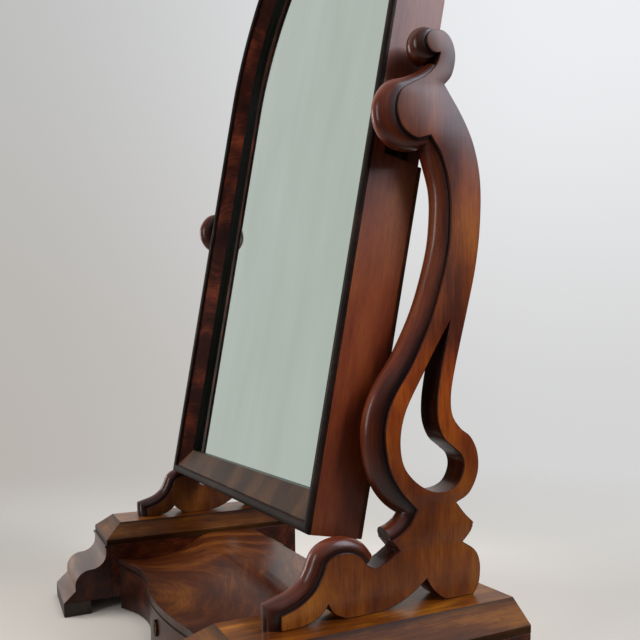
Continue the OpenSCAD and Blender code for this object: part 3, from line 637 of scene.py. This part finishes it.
ARRIS = 0.0008  # radius to which the board's arrises are rounded
NOSE = 0.016  # reach of the nosing's profile, which the CAD nosing's own reach then scales
NOSE_SPANS = 24  # straight spans that make up its half ellipse
EMBED = 0.0004  # depth by which the nosing sits in the board
nosing_low, nosing_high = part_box("left_nosing")
HALF = (nosing_high.x - nosing_low.x) / 2
half_ellipse = [(NOSE * math.sin(a), HALF * math.cos(a)) for a in np.linspace(0, math.pi, NOSE_SPANS + 1)]
nosing_profile = np.array([(-EMBED, HALF)] + half_ellipse + [(-EMBED, -HALF)])
nosing_width = np.linalg.norm(np.diff(nosing_profile, axis=0), axis=1).sum()
edge_wood = mahogany("polished mahogany support edge", "#180705", "#35140b", "#5c2d17", by_uv=True,
                     satin=0.24)
# Shares by height on the boards: darker at the belly near 0.2 m and over the lobes from 0.54 m up, and from
# 0.3 m to 0.46 m a warm, less blue tint that paints a warm sheen in place of the tall lamp's bluish one.
SUPPORT_TONE_AND_PAINTED_SHEEN = [(0.13, (0.86, 0.95, 0.95)), (0.2, (0.58, 0.52, 0.4)), (0.3, (1.2, 0.85, 0.5)),
                (0.38, (1.1, 1.03, 0.52)), (0.42, (0.93, 0.88, 0.47)), (0.46, (1.2, 1.13, 0.47)),
                (0.5, (0.95, 0.85, 0.8)), (0.54, 0.5)]
# Painted shade by height on the nosing: darkest at its foot end, in the crease over the ear and round the
# eye.
NOSING_PAINTED_SHADE = [(0.118, 0.25), (0.14, 0.55), (0.17, 0.6), (0.2, 0.35), (0.24, 0.55), (0.32, 1), (0.535, 1),
               (0.56, 0.4)]
# Painted light and shade across the nosing: dark in both quirks and over the first 14 mm round from the +x
# side, and lighter around 21 mm, on the lit rim.
NOSING_PAINTED_LIGHT_ACROSS = [(0.0025, 0.06), (0.0065, 0.38), (0.014, 0.75), (0.021, 1.2), (nosing_width - 0.004, 1),
               (nosing_width - 0.0015, 0.08)]


def kept_times(stops, factor):
    """Stops of (place, share) with every share multiplied."""
    return [(place, factor * np.array(share)) for place, share in stops]


# The left support and its nosing are drawn darker than the right ones: a painted shade that makes the left
# pair 0.6 as bright.
board_wood, nosing_wood = {}, {}
for hand, share in (("left", 0.6), ("right", 1.0)):
    board_wood[hand] = mahogany(hand + " support mahogany", "#42190a", "#783a10", "#a5601e", GRAIN_Z,
                                satin=0.34, shine=0.85, figure=0.86,
                                deepened=kept_times(SUPPORT_TONE_AND_PAINTED_SHEEN, share))
    nosing_wood[hand] = mahogany(hand + " nosing mahogany", "#330f06", "#722c12", "#a04f22", by_uv=True,
                                 satin=0.25, shine=1.0, deepened=kept_times(NOSING_PAINTED_SHADE, share),
                                 across=NOSING_PAINTED_LIGHT_ACROSS)
pine_z = pine("aged pine, grain upright", GRAIN_Z)


def board_piece(hand):
    """The fretted board: its outline carries a small rounding on both arrises, and flat sides close it.
    The right board's outer face gives the outline of both: the bush is let in from the inside only."""
    node = hand + "_support"
    low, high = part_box(node)
    middle, half = (low.x + high.x) / 2, (high.x - low.x) / 2
    loops = outlines("right_support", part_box("right_support")[1].x)
    rounding = [(-ARRIS * (1 - math.sin(a)), half - ARRIS * (1 - math.cos(a)))
                for a in np.radians([0, 30, 60, 90])]
    section = [(reach, middle + x) for reach, x in rounding]
    section += [(reach, middle - x) for reach, x in rounding[::-1]]
    grids, sides = [], {1: [], -1: []}
    for loop in map(smooth_outline, loops):
        out = mitres(loop, True)
        grids.append((*swept(loop, out, section, True), 1))
        inset = loop - out * ARRIS
        for sign in sides:
            sides[sign].append(at_x(inset, middle + sign * half))
    flats = [(rings, (2, 1), 0) for rings in sides.values()]
    return make_piece(hand + "_support_board", grids, flats, [board_wood[hand], edge_wood], "base", [node])


def nosing_piece(hand):
    """The round nosing: a half ellipse carried along the board's edge. It bulges and thins with the
    CAD nosing's own reach, is mitred in the crease over the ear, and sits a little in the board."""
    node = hand + "_nosing"
    low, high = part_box(node)
    middle = (low.x + high.x) / 2
    feet = ridges(node, high.x, lambda x: x < -HALF)
    tips = ridges(node, middle, lambda x: x > 0)
    grids, flats = [], []
    profile = nosing_profile + (0, middle)
    for foot, tip in zip(feet, tips):
        both = np.hstack([foot, (tip - foot) / NOSE])
        turns = np.flatnonzero(np.abs(turning(foot, False)) > CREASE)
        ends = [0] + turns.tolist() + [len(foot) - 1]
        runs = [eased_run(both[a:b + 1], NOSING_STEPS) for a, b in zip(ends, ends[1:])]
        line = np.vstack([run[:-1] for run in runs] + [both[-1:]])
        grid, uv = swept(line[:, :2], line[:, 2:], profile, False)
        grids += [(grid, uv, 0), (grid[:, [-1, 0]], uv[:, [-1, 0]], 0)]
        flats += [([grid[0]], (1, 2), 0), ([grid[-1]], (1, 2), 0)]
    return make_piece(hand + "_nosing_round", grids, flats, [nosing_wood[hand]], "base", [node],
                      angle=50)


for hand in ("left", "right"):
    board_piece(hand)
    nosing_piece(hand)
    finish_node(hand + "_dowels", pine_z)


# Swing and mirror frame. A brass pin on each side of the frame turns in a bush with a leather
# washer. The frame is a box of mahogany: its sides are veneered along the grain and its canted
# face across it, with a dark round bead along the outer edge.
def leather(name):
    """Hard, dry leather of the washers: 2 mm creases on a dark brown, worn paler in spots."""
    material, tree = new_material(name)
    place = add(tree, "ShaderNodeTexCoord", out="Object")
    creases = add(tree, "ShaderNodeTexVoronoi", {"Vector": place, "Scale": 500.0})
    worn = add(tree, "ShaderNodeTexNoise", {"Vector": place, "Scale": 120.0, "Detail": 3.0}, "Fac")
    colour = add(tree, "ShaderNodeValToRGB", {"Fac": worn},
                 stops=[(0.35, linear("#21150e")), (0.7, linear("#4c3524"))])
    rise = add(tree, "ShaderNodeBump", {"Strength": 0.3, "Distance": 0.0002, "Height": creases})
    hide = add(tree, "ShaderNodeBsdfPrincipled", {"Base Color": colour, "Roughness": 0.75, "Normal": rise})
    add(tree, "ShaderNodeOutputMaterial", {"Surface": hide})
    return material


TILT = math.radians(11)
PIN_DEEP, PIN_UP = 0.022, 0.355  # of the pins behind the frame's front and above its bottom edge
ARCH_R, SIDE_L = 0.222, 0.528  # outer radius of the arch and length of the straight sides
FACE_R = 0.2  # radius along which the arch's veneers are measured
FRAME_MIDDLE = Vector((0, 0.02, SIDE_L / 2))
swing_at = Vector(next(joint for joint in frame["joints"] if joint["name"] == "mirror_tilt")["pos_m"])
upright_turn = Matrix.Rotation(TILT, 3, "X")


def in_frame(place):
    """A place in the frame's own axes: X to the right, Y to its back, Z up from its bottom edge."""
    return upright_turn @ (place - swing_at) + Vector((0, PIN_DEEP, PIN_UP))


def along_frame(place):
    """UV of the frame's veneers in metres: first up the side and round the arch, then across."""
    p = in_frame(place)
    if p.z <= SIDE_L:
        return p.z, ARCH_R - abs(p.x) + p.y
    round_z = p.z - SIDE_L
    return SIDE_L + FACE_R * math.atan2(round_z, abs(p.x)), ARCH_R - math.hypot(p.x, round_z) + p.y


def along_rail(place):
    """UV of the bottom rail's veneers in metres: first along the rail, then across."""
    p = in_frame(place)
    return p.x, p.z + p.y


GRAIN_LEANING = (math.degrees(TILT), 90, 0)
leather_dark = leather("dark leather")
# The frame sides' shares by height make them darker towards the bottom and paint a bluish-grey sheen from
# 0.46 m up.
side_veneer = mahogany("frame side veneer", "#4b1b0c", "#702f16", "#8b451e", by_uv=True, satin=0.34,
                       shine=1.0, deepened=[(0.165, (0.5, 0.65, 0.8)), (0.19, (0.8, 0.9, 0.95)), (0.26, 1),
                                            (0.38, 1), (0.46, (1, 1.5, 2.6)), (0.52, (0.85, 1.2, 2))])
face_veneer = mahogany("frame face cross veneer", "#160502", "#2b0c05", "#632810", (0, 0, 90), by_uv=True,
                       flame=6.0, shine=0.12, satin=0.3, under=0.0)
rail_veneer = mahogany("frame rail cross veneer", "#2a1b12", "#38251a", "#553822", (0, 0, 90), by_uv=True,
                       shine=0.15, satin=0.3, figure=0.9)
frame_back = mahogany("frame back, unpolished", "#2a170e", "#442818", "#5f3d26", GRAIN_LEANING, shine=0.0,
                      rough=0.7)
lip_dark = mahogany("blackened lip", "#100f0b", "#1a1b16", "#2a2b24", by_uv=True, shine=0.3)


def face_in_frame(face):
    """A face's normal and middle in the frame's own axes."""
    return upright_turn @ face.normal, in_frame(face.center)


for node, uv, face in (("bottom_rail", along_rail, rail_veneer), ("left_stile", along_frame, face_veneer),
                       ("right_stile", along_frame, face_veneer), ("arch", along_frame, face_veneer)):
    dressed(node, side_veneer, 0.0004,
            [(face, lambda normal, place: normal.y < -0.5),
             (frame_back, lambda normal, place: normal.y > 0.7),
             (lip_dark, lambda normal, place: normal.dot(FRAME_MIDDLE - place) > 0)], uv, face_in_frame)
for node in ("bottom_bead", "left_bead", "right_bead", "arch_bead"):
    dressed(node, ebonised, 0)
for hand in ("left", "right"):
    finish_node(hand + "_bush", brass)
    finish_node(hand + "_washer", leather_dark)
    finish_node(hand + "_pivot", dark_brass)


# Glass and back. An old silvered plate lies behind the lip, held by pine blocks. A pine panel
# closes the arch, and a darker board is screwed over its lower half.
def silvered_glass():
    """Old silvered plate with a slight grey-green cast. Faint cloudy streaks of 60 mm lie in the
    silver, and tiny dark specks, 30 mm apart, where it has gone."""
    material, tree = new_material("silvered plate glass")
    place = add(tree, "ShaderNodeTexCoord", out="Object")
    drawn = add(tree, "ShaderNodeMapping", {"Vector": place, "Scale": (16.0, 16.0, 4.0)})
    streaks = add(tree, "ShaderNodeTexNoise", {"Vector": drawn, "Scale": 1.0, "Detail": 3.0}, "Fac")
    silver = add(tree, "ShaderNodeValToRGB", {"Fac": streaks},
                 stops=[(0.3, linear("#d6e0d6")), (0.5, linear("#dbe5dc")), (0.7, linear("#e0e9e1"))])
    from_speck = add(tree, "ShaderNodeTexVoronoi", {"Vector": place, "Scale": 33.0})
    gone = add(tree, "ShaderNodeMapRange", {"Value": from_speck, "From Min": 0.010, "From Max": 0.022,
               "To Min": 0.6, "To Max": 0.0})
    colour = add(tree, "ShaderNodeMix", {0: gone, 6: silver, 7: linear("#4d4a42")}, out=2, data_type="RGBA")
    haze = add(tree, "ShaderNodeMapRange", {"Value": streaks, "From Min": 0.3, "From Max": 0.7,
               "To Min": 0.015, "To Max": 0.05})
    plate = add(tree, "ShaderNodeBsdfPrincipled", {"Base Color": colour, "Metallic": 1.0, "Roughness": haze})
    add(tree, "ShaderNodeOutputMaterial", {"Surface": plate})
    return material


def islands(node):
    """The separate parts of a CAD node, in the order of their least places: for each, its places."""
    work = bmesh.new()
    work.from_mesh(frame["nodes"][node].data)
    bmesh.ops.remove_doubles(work, verts=work.verts, dist=MERGED_WITHIN)
    left, parts = set(work.verts), []
    while left:
        part, edge = set(), [left.pop()]
        while edge:
            vert = edge.pop()
            part.add(vert)
            near = {other for link in vert.link_edges for other in link.verts} & left
            left -= near
            edge += near
        parts.append(sorted(vert.co[:] for vert in part))
    work.free()
    return [np.array(part) for part in sorted(parts)]


SLOT_HALF = 0.00045  # half the width of a screw's slot
SLOT_FLOOR, DOME_FOOT = 0.35, 0.25  # heights of the slot's floor and the dome's foot in a head of 1
ARC_STEPS = 8  # in a quarter of a head
FIRST_SLOT, NEXT_SLOT = 0.6, 2.1  # turn of the first screw's slot, and of each further one, in radians


def screw_head(centre, facing_way, radius, height, turn_angle):
    """Grids of one slotted round head on a flat: two halves of a dome on both sides of a slot."""
    rings = [(radius, 0.0), (radius, DOME_FOOT * height)]
    rings += [(radius * math.cos(a), height * (DOME_FOOT + (1 - DOME_FOOT) * math.sin(a)))
              for a in np.radians([20, 40, 58, 74])]
    head_z = facing_way.normalized()
    head_x = head_z.orthogonal().normalized()
    head_y = head_z.cross(head_x)
    c, s = math.cos(turn_angle), math.sin(turn_angle)
    basis = np.array([head_x * c + head_y * s, head_y * c - head_x * s, head_z])
    halves = [list(range(ARC_STEPS, -1, -1)), list(range(ARC_STEPS, 2 * ARC_STEPS + 1))]
    grids = []
    for sign in (1, -1):
        rows = []
        for r, h in rings:
            reach = math.acos(SLOT_HALF / r)
            angles = np.linspace(-reach, reach, 2 * ARC_STEPS + 1)
            x, y = sign * r * np.cos(angles), sign * r * np.sin(angles)
            rows.append(np.column_stack([x, y, np.full(len(angles), h)]))
        grid = np.array(rows)
        grids += [grid, grid[:, [-1, 0]], grid[-1][halves], grid[0][halves]]
    long = math.sqrt(radius**2 - SLOT_HALF**2)
    ends = np.array([[-SLOT_HALF, -long], [SLOT_HALF, -long], [SLOT_HALF, long], [-SLOT_HALF, long]])
    ring = np.array([[[*ends[i % 4], h] for h in (0.0, SLOT_FLOOR * height)] for i in range(5)])
    grids += [ring, ring[[[0, 1], [3, 2]], 1], ring[[[0, 1], [3, 2]], 0]]
    return [(grid @ basis + centre, grid[..., :2].copy(), 0) for grid in grids]


def screws_piece(node, material):
    """Slotted heads in the places of a CAD node's screws, on the frame's back."""
    back = upright_turn.transposed() @ Vector((0, 1, 0))
    grids = []
    for i, part in enumerate(islands(node)):
        depth = part @ np.array(back)
        middle = part.mean(axis=0)
        base = middle - np.array(back) * (middle @ np.array(back) - depth.min())
        height = np.ptp(depth)
        across_corners = np.linalg.norm(part - middle, axis=1).max()
        radius = math.sqrt(across_corners**2 - (height / 2)**2)
        grids += screw_head(base, back, radius, height, FIRST_SLOT + NEXT_SLOT * i)
    make_piece(node + "_slotted", grids, [], [material], "mirror", [node], angle=25)


pine_leaning = pine("aged pine, grain along the frame", GRAIN_LEANING)
brace_wood = mahogany("brace board, unpolished", "#2a170e", "#442818", "#5f3d26", GRAIN_X, shine=0.0,
                     rough=0.7)
finish_node("glass", silvered_glass())
finish_node("back_panel", pine_leaning)
dressed("brace_board", brace_wood, 0.0008)
for hand in ("left", "right"):
    finish_node(hand + "_low_block", pine_leaning)
    finish_node(hand + "_high_block", pine_leaning)
screws_piece("brace_screws", brass)
screws_piece("panel_screws", brass)
